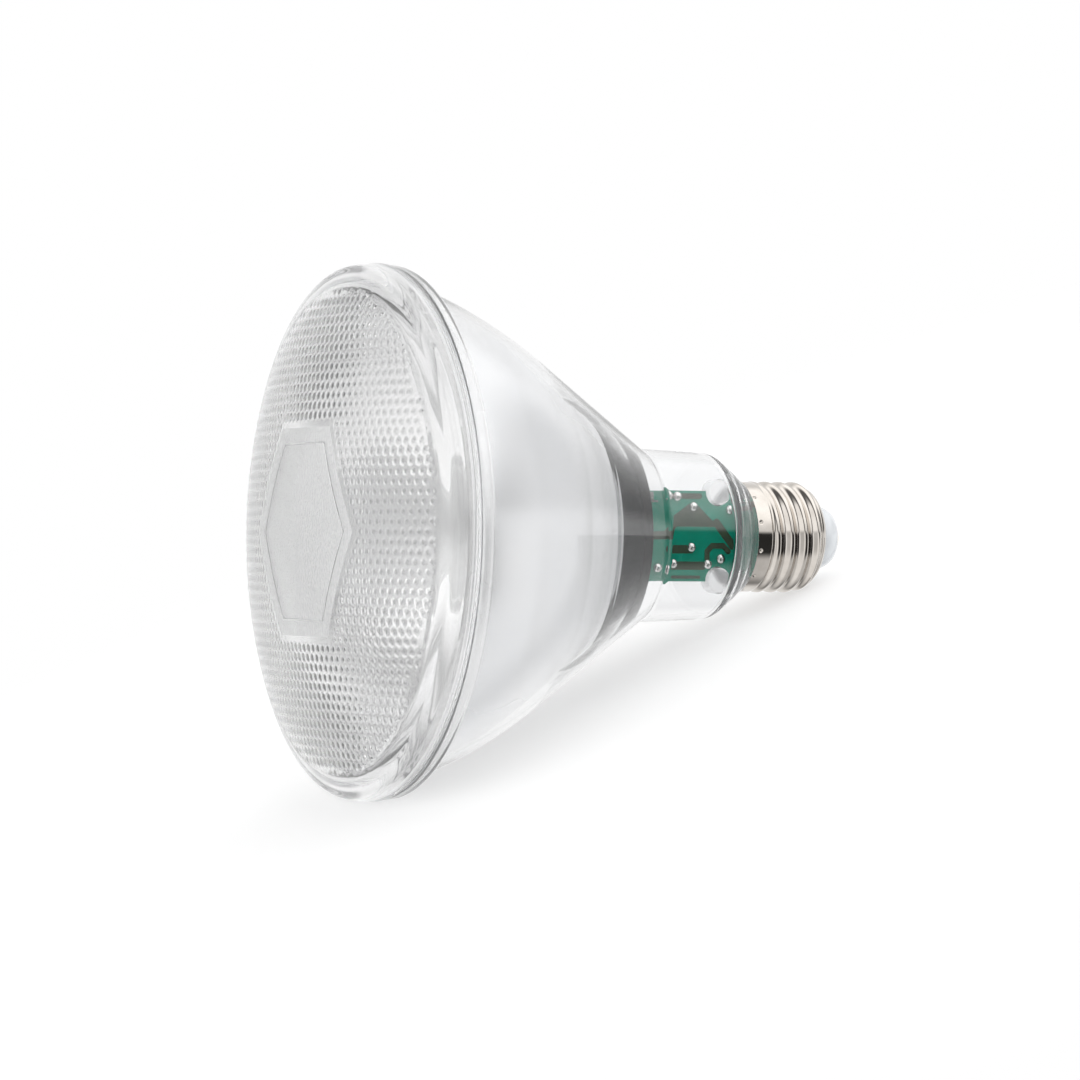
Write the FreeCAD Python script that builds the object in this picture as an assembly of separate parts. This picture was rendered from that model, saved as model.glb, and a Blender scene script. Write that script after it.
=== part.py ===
import FreeCAD, Part
import math
import os

# Reflector spotlight bulb with a screw cap. All sizes in millimetres.
# The lamp axis is Z, the cap is at the bottom and the light leaves towards +Z.
# The origin is the centre of the flat end contact. The driver board faces -Y.

os.makedirs("parts", exist_ok=True)

Vector = FreeCAD.Vector
X_AXIS = Vector(1, 0, 0)
Y_AXIS = Vector(0, 1, 0)
Z_AXIS = Vector(0, 0, 1)
ORIGIN = Vector(0, 0, 0)

# Driving sizes of the front lens
rim_radius = 60.7
skirt_height = 5.94
dome_radius = 160.0
lens_wall = 2.6
margin_width = 6.1
field_step = 0.25
skirt_wall = 2.9
skirt_draft = 0.5
lens_corner_radius = 2.8
hexagon_flats = 39.9
plain_margin = 3.4
hexagon_turn = 30.0
border_width = 0.45
border_height = 0.1

# Driving sizes of the clear housing
flange_top_z = 119.0
flange_height = 3.2
flange_inset = 0.4
flange_overhang = 3.0
bowl_bulge = 1.25
cone_top_z = 86.5
cone_top_radius = 43.3
neck_top_z = 53.1
neck_top_radius = 20.3
neck_foot_z = 34.5
neck_foot_radius = 19.5
neck_corner_radius = 1.2
shoulder_foot_z = 26.5
shoulder_foot_radius = 13.6
housing_wall = 1.4
seal_height = 0.5

# Driving sizes of the screw cap: Edison thread with a 3.629 pitch
thread_pitch = 3.629
crest_radius = 13.15
root_radius = 12.1
thread_foot_z = 9.0
thread_turns = 3.25
first_crest_rise = 0.9
ridge_width = 3.1
ridge_overlap = 0.4
cap_wall = 0.35
cap_skirt_radius = 13.0
cap_skirt_foot_z = 22.5
cap_lip_radius = 8.0
cap_lip_z = 5.5
spigot_foot_z = 23.0
spigot_notch = 2.0
punch_count = 12
punch_radius = 0.42
punch_drop = 0.95
punch_depth = 0.2

# Driving sizes of the insulator and the end contact
insulator_tip_radius = 5.6
insulator_side_radius = 7.7
insulator_height = 10.1
insulator_bore_radius = 3.6
insulator_bevel = 1.5
contact_flat_radius = 3.8
contact_radius = 5.0
contact_height = 0.9
rivet_radius = 1.3
rivet_head_radius = 2.6
rivet_head_height = 0.9
rivet_top_z = 6.5

# Driving sizes of the reflector, a paraboloid of revolution
vertex_z = 60.0
reflector_wall = 1.2
reflector_foot_wall = 1.4
reflector_top_drop = 2.0
reflector_gap = 0.4
reflector_flange_height = 1.2

# Driving sizes of the heat spreader and the light source
spreader_floor_z = 60.0
spreader_height = 12.6
spreader_wall = 1.8
spreader_floor = 2.4
led_board_radius = 17.6
led_board_thickness = 1.6
led_rows = 6
led_columns = 4
led_row_pitch = 4.4
led_column_pitch = 5.2
led_width = 2.8
led_length = 3.5
led_height = 0.8
screw_offset = 13.4
screw_head_radius = 1.9
screw_head_height = 1.3
screw_slot_width = 0.5
screw_slot_depth = 0.6
screw_shank_radius = 1.1
screw_length = 2.2
led_lead_x = 4.4
led_lead_reach = 4.6
led_lead_stub = 0.3

# Driving sizes of the driver board and the posts that hold it
board_front = 4.4
board_thickness = 1.2
board_width = 21.0
board_tail_width = 17.0
board_step_z = 28.4
board_foot_z = 15.5
post_radius = 3.0
post_wall = 0.6
post_x = 10.3
post_z = 32.8
post_reach = 1.0
trace_thickness = 0.07
lead_radius = 0.3
lead_stub = 1.0
solder_radius = 1.15
solder_height = 0.9
tab_thickness = 0.5
tab_length = 4.0
tab_foot_width = 2.3
tab_height = 2.6
tab_z = 50.4

# Places of the soldered leads on the driver board
choke_lead_x = 6.8
choke_lead_z = 39.5
choke_far_lead_x = -2.6
choke_far_lead_z = 40.0
can_lead_x = -6.5
can_lead_z = 35.7
can_far_lead_x = -5.2
can_far_lead_z = 32.2
film_lead_x = -7.4
film_lead_z = 49.2
film_far_lead_x = -6.4
film_far_lead_z = 44.8
disc_lead_x = 9.25
disc_lead_z = 46.2
disc_far_lead_x = 9.1
disc_far_lead_z = 43.8
fuse_lead_x = 6.2
fuse_lead_z = 29.8
fuse_far_lead_x = 7.0
fuse_far_lead_z = 20.0

# Driving sizes of the copper tracks
track_width = 1.9
hook_width = 1.3
edge_track_width = 0.7
edge_track_inset = 1.0
peak_half_width = 0.8
arch_depth = 4.6
arch_front_reach = 6.0
arch_back_reach = 7.2
leg_reach = 3.0
leg_drop = 4.4
track_end_gap = 5.0

# Driving sizes of the components on the back of the board
choke_radius = 4.9
choke_length = 10.0
choke_flange = 1.6
choke_core_radius = 2.4
winding_depth = 0.6
can_radius = 4.0
can_length = 13.5
can_top_z = 27.6
can_x = -4.2
can_lead_offset = 1.2
can_lead_lift = 1.4
film_width = 4.0
film_depth = 7.0
film_height = 7.0
disc_radius = 3.0
disc_thickness = 2.2
disc_x = 9.2
fuse_radius = 1.5
fuse_length = 7.0
fuse_foot_z = 21.6
fuse_offset = 0.3
fuse_lift = 2.0
package_lift = 0.2
terminal_thickness = 0.4
rectifier_width = 4.6
rectifier_depth = 1.6
rectifier_height = 3.9
rectifier_reach = 1.0
rectifier_pitch = 2.1
rectifier_x = 5.2
chip_width = 3.9
chip_depth = 1.4
chip_height = 4.9
chip_reach = 1.05
chip_pitch = 1.27
chip_x = -1.4
packages_z = 50.2

# Driving sizes of the wires
wire_radius = 0.5
live_wire_x = 2.4
live_wire_top_z = 19.0
live_wire_bend_z = 14.0
live_wire_foot_z = 11.5
neutral_wire_x = 4.4
neutral_wire_top_z = 30.0
neutral_wire_z = 24.8

# Clearances, and the reach of the tools that cut through a piece
slip = 0.1
loose = 0.3
cut_reach = 20.0

lens_foot_radius = rim_radius
lens_top_radius = rim_radius - skirt_draft
dome_rise = dome_radius - math.sqrt(dome_radius ** 2 - lens_top_radius ** 2)
lens_apex_z = flange_top_z + seal_height + skirt_height + dome_rise
skirt_inner_radius = rim_radius - skirt_wall
field_radius = rim_radius - margin_width
plain_hexagon_flats = hexagon_flats + 2 * plain_margin
flange_radius = rim_radius - flange_inset
bowl_top_radius = flange_radius - flange_overhang
bowl_top_z = flange_top_z - flange_height
bowl_mid_radius = (cone_top_radius + bowl_top_radius) / 2 + bowl_bulge
bowl_mid_z = (cone_top_z + bowl_top_z) / 2
reflector_bend_z = bowl_mid_z
reflector_top_z = flange_top_z - reflector_top_drop
reflector_mid_z = (reflector_bend_z + reflector_top_z) / 2
spreader_top_z = spreader_floor_z + spreader_height
first_crest_z = thread_foot_z + first_crest_rise
board_back_y = board_thickness - board_front


def line(start, end):
    """Straight edge between two (radius, z) points in the XZ plane."""
    return Part.makeLine(Vector(start[0], 0, start[1]), Vector(end[0], 0, end[1]))


def arc(start, middle, end):
    """Circular edge through three (radius, z) points in the XZ plane."""
    points = [Vector(p[0], 0, p[1]) for p in (start, middle, end)]
    return Part.Arc(points[0], points[1], points[2]).toShape()


def chain(points):
    """Straight edges that join the (radius, z) points in turn."""
    return [line(a, b) for a, b in zip(points[:-1], points[1:])]


def turned(edges):
    """Solid of revolution about Z from a closed run of edges."""
    face = Part.Face(Part.Wire(edges))
    return face.revolve(ORIGIN, Z_AXIS, 360)


def turned_ring(points):
    """Solid of revolution from a closed polygon of (radius, z) points."""
    return turned(chain(points + points[:1]))


def cylinder(radius, height, base, axis=Z_AXIS):
    return Part.makeCylinder(radius, height, base, axis)


def box(x_size, y_size, z_size, x, y, z):
    """Box centred on x, with its low y and low z corner at y and z."""
    return Part.makeBox(x_size, y_size, z_size, Vector(x - x_size / 2, y, z))


def joined(solids):
    """One solid from pieces that touch or overlap."""
    whole = solids[0]
    if len(solids) > 1:
        whole = whole.fuse(solids[1:])
    return whole.removeSplitter()


def bent_wire(points, radius):
    """Round wire along straight runs with a ball at each inner corner."""
    runs = []
    for start, end in zip(points[:-1], points[1:]):
        step = end.sub(start)
        runs.append(Part.makeCylinder(radius, step.Length, start, step))
    for corner in points[1:-1]:
        runs.append(Part.makeSphere(radius, corner))
    return joined(runs)


def hexagonal_prism(flats, height, z):
    """Hexagonal prism across its flats, turned about Z like the lens panel."""
    radius = flats / math.sqrt(3)
    corners = []
    for index in range(7):
        angle = math.radians(hexagon_turn + 60 * index)
        corners.append(Vector(radius * math.cos(angle), radius * math.sin(angle), z))
    face = Part.Face(Part.makePolygon(corners))
    return face.extrude(Vector(0, 0, height))


def dome_z(radius, sphere_radius):
    """Height of a sphere about the common dome centre at this radius."""
    return lens_apex_z - dome_radius + math.sqrt(sphere_radius ** 2 - radius ** 2)


def dome_layer(outer_sphere, inner_sphere):
    """Spherical layer above the lens foot between two concentric spheres."""
    centre = Vector(0, 0, lens_apex_z - dome_radius)
    outer = Part.makeSphere(outer_sphere, centre)
    return outer.cut(Part.makeSphere(inner_sphere, centre))


def line_radius(z, low, high):
    """Radius at height z on the straight side between two (radius, z) points."""
    share = (z - low[1]) / (high[1] - low[1])
    return low[0] + share * (high[0] - low[0])


def make_front_lens():
    """Domed lens: raised lenslet field, smooth margin and a thick skirt."""
    margin_sphere = dome_radius - field_step
    inner_sphere = dome_radius - lens_wall
    foot_z = flange_top_z + seal_height
    corner_start = (lens_top_radius - lens_corner_radius) / (1 - lens_corner_radius / margin_sphere)
    corner_start_z = dome_z(corner_start, margin_sphere)
    tilt = math.asin(corner_start / margin_sphere)
    centre_radius = lens_top_radius - lens_corner_radius
    corner_end_z = corner_start_z - lens_corner_radius * math.cos(tilt)
    half_turn = (math.pi / 2 - tilt) / 2
    corner_middle = (
        centre_radius + lens_corner_radius * math.cos(half_turn),
        corner_end_z + lens_corner_radius * math.sin(half_turn),
    )
    half_field = field_radius / 2
    half_skirt = skirt_inner_radius / 2
    apex = (0, lens_apex_z)
    field_edge = (field_radius, dome_z(field_radius, dome_radius))
    margin_edge = (field_radius, dome_z(field_radius, margin_sphere))
    margin_middle_radius = (field_radius + corner_start) / 2
    margin_middle = (margin_middle_radius, dome_z(margin_middle_radius, margin_sphere))
    inner_edge = (skirt_inner_radius, dome_z(skirt_inner_radius, inner_sphere))
    inner_apex = (0, lens_apex_z - lens_wall)
    edges = [
        arc(apex, (half_field, dome_z(half_field, dome_radius)), field_edge),
        line(field_edge, margin_edge),
        arc(margin_edge, margin_middle, (corner_start, corner_start_z)),
        arc((corner_start, corner_start_z), corner_middle, (lens_top_radius, corner_end_z)),
        line((lens_top_radius, corner_end_z), (lens_foot_radius, foot_z)),
        line((lens_foot_radius, foot_z), (skirt_inner_radius, foot_z)),
        line((skirt_inner_radius, foot_z), inner_edge),
        arc(inner_edge, (half_skirt, dome_z(half_skirt, inner_sphere)), inner_apex),
        line(inner_apex, apex),
    ]
    lens = turned(edges)
    prism_z = lens_apex_z - cut_reach / 2
    layer = dome_layer(dome_radius + field_step, margin_sphere)
    lens = lens.cut(layer.common(hexagonal_prism(plain_hexagon_flats, cut_reach, prism_z)))
    border = hexagonal_prism(hexagon_flats, cut_reach, prism_z)
    border = border.cut(hexagonal_prism(hexagon_flats - 2 * border_width, cut_reach, prism_z))
    ridge = dome_layer(margin_sphere + border_height, margin_sphere - border_height)
    return joined([lens, ridge.common(border)])


def make_lens_seal():
    """Bead of clear adhesive between the housing flange and the lens skirt."""
    low = flange_top_z
    high = flange_top_z + seal_height
    inner = skirt_inner_radius + loose
    outer = min(flange_radius, lens_foot_radius) - loose
    return turned_ring([(inner, low), (outer, low), (outer, high), (inner, high)])


def housing_profile():
    """Outer side of the housing from the shoulder foot up to the flange."""
    return {
        "shoulder_foot": (shoulder_foot_radius, shoulder_foot_z),
        "neck_foot": (neck_foot_radius, neck_foot_z),
        "neck_top": (neck_top_radius, neck_top_z),
        "cone_top": (cone_top_radius, cone_top_z),
        "bowl_mid": (bowl_mid_radius, bowl_mid_z),
        "bowl_top": (bowl_top_radius, bowl_top_z),
    }


def inward(point, share_across, share_along):
    """Point moved by the housing wall, across towards the axis and along Z."""
    return (point[0] - share_across * housing_wall, point[1] + share_along * housing_wall)


def housing_inner_profile():
    """Inner side of the housing at the corners of its bowl and neck."""
    side = housing_profile()
    return {
        "neck_foot": inward(side["neck_foot"], 1.0, 0.6),
        "neck_top": inward(side["neck_top"], 1.0, 0.35),
        "cone_top": inward(side["cone_top"], 1.1, 0.0),
        "bowl_mid": inward(side["bowl_mid"], 1.1, 0.0),
        "bowl_top": inward(side["bowl_top"], 1.0, 0.0),
    }


def board_posts():
    """Two tubes from the back wall of the neck through the notches of the board."""
    depth = housing_wall / 2
    room = turned_ring([
        (0, shoulder_foot_z),
        (shoulder_foot_radius - depth, shoulder_foot_z),
        (neck_foot_radius - depth, neck_foot_z),
        (neck_top_radius - depth, neck_top_z),
        (0, neck_top_z),
    ])
    posts = []
    for sign in (-1, 1):
        start = Vector(sign * post_x, -board_front - post_reach, post_z)
        length = neck_top_radius + board_front
        post = cylinder(post_radius, length, start, Y_AXIS)
        post = post.cut(cylinder(post_radius - post_wall, length, start, Y_AXIS))
        posts.append(post.common(room))
    return posts


def make_housing():
    """Clear shell: flange, bowl, neck, shoulder and the spigot in the cap."""
    side = housing_profile()
    inside = housing_inner_profile()
    spigot_radius = cap_skirt_radius - cap_wall - slip
    spigot_foot = (spigot_radius, spigot_foot_z)
    spigot_top = (spigot_radius, shoulder_foot_z)
    spigot_inner = spigot_radius - housing_wall
    inner_shoulder = (spigot_inner, shoulder_foot_z + 0.6 * housing_wall)
    edges = chain([
        (spigot_inner, spigot_foot_z),
        spigot_foot,
        spigot_top,
        side["shoulder_foot"],
        side["neck_foot"],
        side["neck_top"],
        side["cone_top"],
    ])
    edges.append(arc(side["cone_top"], side["bowl_mid"], side["bowl_top"]))
    edges += chain([
        side["bowl_top"],
        (flange_radius, bowl_top_z),
        (flange_radius, flange_top_z),
        (inside["bowl_top"][0], flange_top_z),
        inside["bowl_top"],
    ])
    edges.append(arc(inside["bowl_top"], inside["bowl_mid"], inside["cone_top"]))
    edges += chain([
        inside["cone_top"],
        inside["neck_top"],
        inside["neck_foot"],
        inner_shoulder,
        (spigot_inner, spigot_foot_z),
    ])
    shell = turned(edges)
    outer_corners = []
    for edge in shell.Edges:
        if not isinstance(edge.Curve, Part.Circle):
            continue
        if abs(edge.Curve.Center.z - neck_foot_z) < 0.01 and abs(edge.Curve.Radius - neck_foot_radius) < 0.01:
            outer_corners.append(edge)
    shell = shell.makeFillet(neck_corner_radius, outer_corners)
    return joined([shell] + board_posts())


def bowl_inner_radius(z):
    """Inner radius of the housing bowl at height z, from its arc."""
    inside = housing_inner_profile()
    circle = arc(inside["cone_top"], inside["bowl_mid"], inside["bowl_top"]).Curve
    return circle.Center.x + math.sqrt(circle.Radius ** 2 - (z - circle.Center.z) ** 2)


def housing_inner_radius(z):
    """Inner radius of the housing cone between the neck and the bowl."""
    inside = housing_inner_profile()
    return line_radius(z, inside["neck_top"], inside["cone_top"])


def widest_focal_length():
    """Focal length of the widest paraboloid clear of the housing and the spreader."""
    limits = [
        (housing_inner_radius(spreader_top_z) - slip - spreader_wall, spreader_top_z),
        (bowl_inner_radius(cone_top_z), cone_top_z),
        (bowl_inner_radius(reflector_bend_z), reflector_bend_z),
    ]
    return min((radius - reflector_gap) ** 2 / (4 * (z - vertex_z)) for radius, z in limits)


focal_length = widest_focal_length()


def parabola_point(radius, lift):
    """Point of the paraboloid at this radius, lifted along Z."""
    return Vector(radius, 0, vertex_z + lift + radius ** 2 / (4 * focal_length))


def parabola_radius(z, lift):
    return math.sqrt(4 * focal_length * (z - vertex_z - lift))


def parabola_edge(low_z, high_z, lift):
    """Side of the paraboloid between two heights, as one smooth curve."""
    low_radius = parabola_radius(low_z, lift)
    high_radius = parabola_radius(high_z, lift)
    steps = 8
    points = []
    for index in range(steps + 1):
        radius = low_radius + (high_radius - low_radius) * index / steps
        points.append(parabola_point(radius, lift))
    curve = Part.BSplineCurve()
    curve.interpolate(points)
    return curve.toShape()


def make_reflector():
    """Metallised bowl with a seat round the light source and a top flange."""
    mid_radius = bowl_inner_radius(reflector_mid_z) - reflector_gap
    top_radius = bowl_top_radius - housing_wall - reflector_gap
    bend_radius = parabola_radius(reflector_bend_z, 0)
    inner_bend_radius = bend_radius - reflector_wall
    lift = reflector_bend_z - parabola_point(inner_bend_radius, 0).z
    seat_z = spreader_floor_z + spreader_floor
    seat_radius = led_board_radius + loose
    foot_radius = seat_radius + reflector_foot_wall
    foot_z = parabola_point(foot_radius, 0).z
    inner_foot_radius = parabola_radius(foot_z, lift)
    flange_low = flange_top_z
    flange_high = flange_top_z + reflector_flange_height
    flange_edge = skirt_inner_radius - loose
    inner_top = (top_radius - reflector_wall, reflector_top_z)
    inner_mid = (mid_radius - reflector_wall, reflector_mid_z)
    edges = [parabola_edge(foot_z, reflector_bend_z, 0)]
    edges.append(arc(
        (bend_radius, reflector_bend_z),
        (mid_radius, reflector_mid_z),
        (top_radius, reflector_top_z),
    ))
    edges += chain([
        (top_radius, reflector_top_z),
        (top_radius, flange_low),
        (flange_edge, flange_low),
        (flange_edge, flange_high),
        (inner_top[0], flange_high),
        inner_top,
    ])
    edges.append(arc(inner_top, inner_mid, (inner_bend_radius, reflector_bend_z)))
    edges.append(parabola_edge(foot_z, reflector_bend_z, lift))
    edges += chain([
        (inner_foot_radius, foot_z),
        (inner_foot_radius, foot_z - reflector_wall),
        (seat_radius, foot_z - reflector_wall),
        (seat_radius, seat_z),
        (foot_radius, seat_z),
        (foot_radius, foot_z),
    ])
    return turned(Part.__sortEdges__(edges))


def make_heat_spreader():
    """Metal cup that fits the housing cone and carries the light source."""
    foot = housing_inner_radius(spreader_floor_z) - slip
    top = housing_inner_radius(spreader_top_z) - slip
    floor_z = spreader_floor_z + spreader_floor
    inner_foot = housing_inner_radius(floor_z) - slip - spreader_wall
    cup = turned_ring([
        (0, spreader_floor_z),
        (foot, spreader_floor_z),
        (top, spreader_top_z),
        (top - spreader_wall, spreader_top_z),
        (inner_foot, floor_z),
        (0, floor_z),
    ])
    for x in led_lead_positions():
        foot = Vector(x, led_lead_y(), spreader_floor_z)
        cup = cup.cut(cylinder(wire_radius + loose, spreader_floor, foot))
    for y in (-screw_offset, screw_offset):
        foot = Vector(0, y, led_board_top() - screw_length)
        cup = cup.cut(cylinder(screw_shank_radius, screw_length, foot))
    return cup


def led_lead_positions():
    """X of the two leads that feed the light source."""
    return (-led_lead_x, led_lead_x)


def led_lead_y():
    """Y of the leads, which lie against the back of the driver board."""
    return board_back_y + wire_radius


def led_board_top():
    return spreader_floor_z + spreader_floor + led_board_thickness


def make_led_board():
    """Round metal-core board, drilled for its two leads and two screws."""
    base = Vector(0, 0, spreader_floor_z + spreader_floor)
    board = cylinder(led_board_radius, led_board_thickness, base)
    for x in led_lead_positions():
        board = board.cut(cylinder(wire_radius + slip, led_board_thickness, Vector(x, led_lead_y(), base.z)))
    for y in (-screw_offset, screw_offset):
        board = board.cut(cylinder(screw_shank_radius + slip, led_board_thickness, Vector(0, y, base.z)))
    return board


def make_led_chips():
    """Rows of light-emitting chips on top of the round board."""
    chips = []
    for row in range(led_rows):
        for column in range(led_columns):
            x = (row - (led_rows - 1) / 2) * led_row_pitch
            y = (column - (led_columns - 1) / 2) * led_column_pitch
            chips.append(box(led_width, led_length, led_height, x, y - led_length / 2, led_board_top()))
    return Part.makeCompound(chips)


def make_board_screws():
    """Two pan-head screws that hold the light source to the spreader."""
    screws = []
    for y in (-screw_offset, screw_offset):
        top = led_board_top()
        head = cylinder(screw_head_radius, screw_head_height, Vector(0, y, top))
        slot_y = y - screw_slot_width / 2
        slot_z = top + screw_head_height - screw_slot_depth
        slot = box(2 * screw_head_radius, screw_slot_width, screw_slot_depth, 0, slot_y, slot_z)
        shank = cylinder(screw_shank_radius, screw_length, Vector(0, y, top - screw_length))
        screws.append(joined([head.cut(slot), shank]))
    return Part.makeCompound(screws)


def make_led_leads():
    """Two leads from the driver board up through the spreader and the board."""
    leads = []
    for x in led_lead_positions():
        foot = Vector(x, led_lead_y(), spreader_floor_z - led_lead_reach)
        leads.append(cylinder(wire_radius, led_board_top() + led_lead_stub - foot.z, foot))
    return Part.makeCompound(leads)


def lead_holes():
    """Board positions (x, z) of every soldered lead, by component."""
    return {
        "choke": [(choke_lead_x, choke_lead_z), (choke_far_lead_x, choke_far_lead_z)],
        "electrolytic_capacitor": [(can_lead_x, can_lead_z), (can_far_lead_x, can_far_lead_z)],
        "film_capacitor": [(film_lead_x, film_lead_z), (film_far_lead_x, film_far_lead_z)],
        "disc_capacitor": [(disc_lead_x, disc_lead_z), (disc_far_lead_x, disc_far_lead_z)],
        "fuse_resistor": [(fuse_lead_x, fuse_lead_z), (fuse_far_lead_x, fuse_far_lead_z)],
    }


def component_centre(name):
    """Board position (x, z) halfway between the two leads of a component."""
    (first_x, first_z), (second_x, second_z) = lead_holes()[name]
    return ((first_x + second_x) / 2, (first_z + second_z) / 2)


def all_lead_holes():
    holes = []
    for positions in lead_holes().values():
        holes += positions
    return holes


def leads_of(name, body_y):
    """Straight leads from a component body through the board to the front."""
    pins = []
    for x, z in lead_holes()[name]:
        length = body_y + board_front + lead_stub
        pins.append(cylinder(lead_radius, length, Vector(x, -board_front - lead_stub, z), Y_AXIS))
    return pins


def make_driver_board():
    """Driver board: wide in the neck, narrower where it enters the cap."""
    wide = box(board_width, board_thickness, spreader_floor_z - board_step_z, 0, -board_front, board_step_z)
    tail = box(board_tail_width, board_thickness, board_step_z - board_foot_z, 0, -board_front, board_foot_z)
    board = joined([wide, tail])
    for x in (-post_x, post_x):
        start = Vector(x, -board_front, post_z)
        board = board.cut(cylinder(post_radius + loose, board_thickness, start, Y_AXIS))
    for x, z in all_lead_holes():
        start = Vector(x, -board_front, z)
        board = board.cut(cylinder(lead_radius + slip, board_thickness, start, Y_AXIS))
    return board


def copper_area(points):
    """Flat copper area on the board front from its (x, z) corners."""
    y = -board_front - trace_thickness
    corners = [Vector(x, y, z) for x, z in points + points[:1]]
    return Part.Face(Part.makePolygon(corners)).extrude(Vector(0, trace_thickness, 0))


def copper_track(points, width):
    """Copper track of one width along (x, z) points, with round corners."""
    y = -board_front - trace_thickness
    pieces = []
    for (x, z), (next_x, next_z) in zip(points[:-1], points[1:]):
        length = math.hypot(next_x - x, next_z - z)
        run = Part.makeBox(width, trace_thickness, length, Vector(-width / 2, 0, 0))
        run.rotate(ORIGIN, Y_AXIS, math.degrees(math.atan2(next_x - x, next_z - z)))
        run.translate(Vector(x, y, z))
        pieces.append(run)
    for x, z in points:
        pieces.append(cylinder(width / 2, trace_thickness, Vector(x, y, z), Y_AXIS))
    return joined(pieces)


def make_copper_traces():
    """Conductor tracks on the front of the driver board, from joint to joint."""
    peak_x = choke_lead_x
    peak_z = choke_lead_z
    arch_x = peak_x - arch_depth
    slope = copper_area([
        (peak_x + peak_half_width, peak_z + peak_half_width),
        (peak_x + peak_half_width, peak_z - peak_half_width),
        (arch_x + track_width, peak_z - arch_depth),
        (arch_x, peak_z - arch_back_reach),
        (arch_x, peak_z + arch_depth),
        (arch_x + track_width, peak_z + arch_front_reach),
    ])
    upper_leg = copper_track([
        (arch_x + track_width / 2, peak_z + arch_depth),
        (arch_x + track_width / 2 - leg_reach, peak_z + arch_depth + leg_reach),
        (arch_x + track_width / 2 - leg_reach, spreader_floor_z - track_end_gap),
    ], track_width)
    lower_leg = copper_track([
        (arch_x + track_width / 2, peak_z - arch_back_reach + track_width / 2),
        (arch_x - leg_drop, peak_z - arch_back_reach - leg_drop + track_width / 2),
    ], track_width)
    arch = joined([slope, upper_leg, lower_leg])
    middle_x = choke_far_lead_x - track_width / 4
    middle = copper_track([
        (middle_x, choke_far_lead_z),
        (middle_x, choke_far_lead_z + arch_front_reach),
    ], track_width)
    hook = copper_track([
        (can_lead_x + solder_radius, can_lead_z),
        (can_lead_x + leg_reach, can_lead_z),
        (can_lead_x + leg_reach + hook_width, can_lead_z - hook_width),
        (can_lead_x + leg_reach + hook_width, can_lead_z - hook_width - leg_reach),
        (can_lead_x + leg_reach, can_lead_z - 2 * hook_width - leg_reach),
    ], hook_width)
    band_x = film_far_lead_x - track_width / 4
    band = copper_track([(band_x, film_far_lead_z), (band_x, can_lead_z + solder_radius)], track_width)
    low_z = post_z + track_end_gap
    edge_x = edge_track_inset - board_width / 2
    edge = copper_track([(edge_x, film_far_lead_z), (edge_x, low_z)], edge_track_width)
    top = copper_track([(disc_lead_x, disc_lead_z), (disc_lead_x, low_z)], hook_width)
    tail = copper_track([
        (fuse_far_lead_x, fuse_far_lead_z),
        (fuse_far_lead_x, board_step_z - track_width),
    ], hook_width)
    traces = []
    for area in (arch, middle, hook, band, edge, top, tail):
        for x, z in all_lead_holes():
            start = Vector(x, -board_front - trace_thickness, z)
            area = area.cut(cylinder(solder_radius, trace_thickness, start, Y_AXIS))
        traces.append(area)
    return Part.makeCompound(traces)


def make_solder_joints():
    """Solder cone round each lead on the front of the board."""
    joints = []
    for x, z in all_lead_holes():
        base = Vector(x, -board_front, z)
        tip = base - Y_AXIS * solder_height
        cone = Part.makeCone(solder_radius, lead_radius + slip, solder_height, base, -Y_AXIS)
        joints.append(cone.cut(cylinder(lead_radius, solder_height, tip, Y_AXIS)))
    return Part.makeCompound(joints)


def make_lead_tab():
    """Bent metal tab soldered to the upper front corner of the board."""
    side_x = (board_width - tab_thickness) / 2 - tab_foot_width
    foot_x = side_x + tab_foot_width / 2
    foot = box(tab_foot_width, tab_thickness, tab_length, foot_x, -board_front - tab_thickness, tab_z)
    upright = box(tab_thickness, tab_height, tab_length, side_x, -board_front - tab_height, tab_z)
    return joined([foot, upright])


def make_choke_core():
    """Drum core with two flanges and its two leads."""
    x, z = component_centre("choke")
    centre = Vector(x, board_back_y, z)
    low = cylinder(choke_radius, choke_flange, centre, Y_AXIS)
    high = cylinder(choke_radius, choke_flange, centre + Y_AXIS * (choke_length - choke_flange), Y_AXIS)
    core = cylinder(choke_core_radius, choke_length, centre, Y_AXIS)
    return joined([low, high, core] + leads_of("choke", board_back_y + choke_flange / 2))


def make_choke_winding():
    """Copper winding between the flanges of the choke core."""
    x, z = component_centre("choke")
    start = Vector(x, board_back_y + choke_flange, z)
    length = choke_length - 2 * choke_flange
    coil = cylinder(choke_radius - winding_depth, length, start, Y_AXIS)
    return coil.cut(cylinder(choke_core_radius, length, start, Y_AXIS))


def make_electrolytic_capacitor():
    """Round can that lies along the tail of the board."""
    axis_y = board_back_y + can_radius
    body = cylinder(can_radius, can_length, Vector(can_x, axis_y, can_top_z - can_length))
    rims = [edge for edge in body.Edges if isinstance(edge.Curve, Part.Circle)]
    body = body.makeFillet(0.6, rims[:1])
    solids = [body]
    bend_y = board_back_y + can_lead_lift
    for (x, z), side in zip(lead_holes()["electrolytic_capacitor"], (-1, 1)):
        can_lead_x = can_x + side * can_lead_offset
        solids.append(bent_wire([
            Vector(x, -board_front - lead_stub, z),
            Vector(x, bend_y, z),
            Vector(can_lead_x, bend_y, z),
            Vector(can_lead_x, bend_y, can_top_z - lead_stub),
        ], lead_radius))
    return joined(solids)


def make_film_capacitor():
    """Moulded box capacitor."""
    x, z = component_centre("film_capacitor")
    body = box(film_width, film_depth, film_height, x, board_back_y, z - film_height / 2)
    upright = [edge for edge in body.Edges if abs(edge.tangentAt(edge.FirstParameter).y) > 0.99]
    body = body.makeFillet(0.5, upright)
    return joined([body] + leads_of("film_capacitor", board_back_y + lead_stub))


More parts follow.
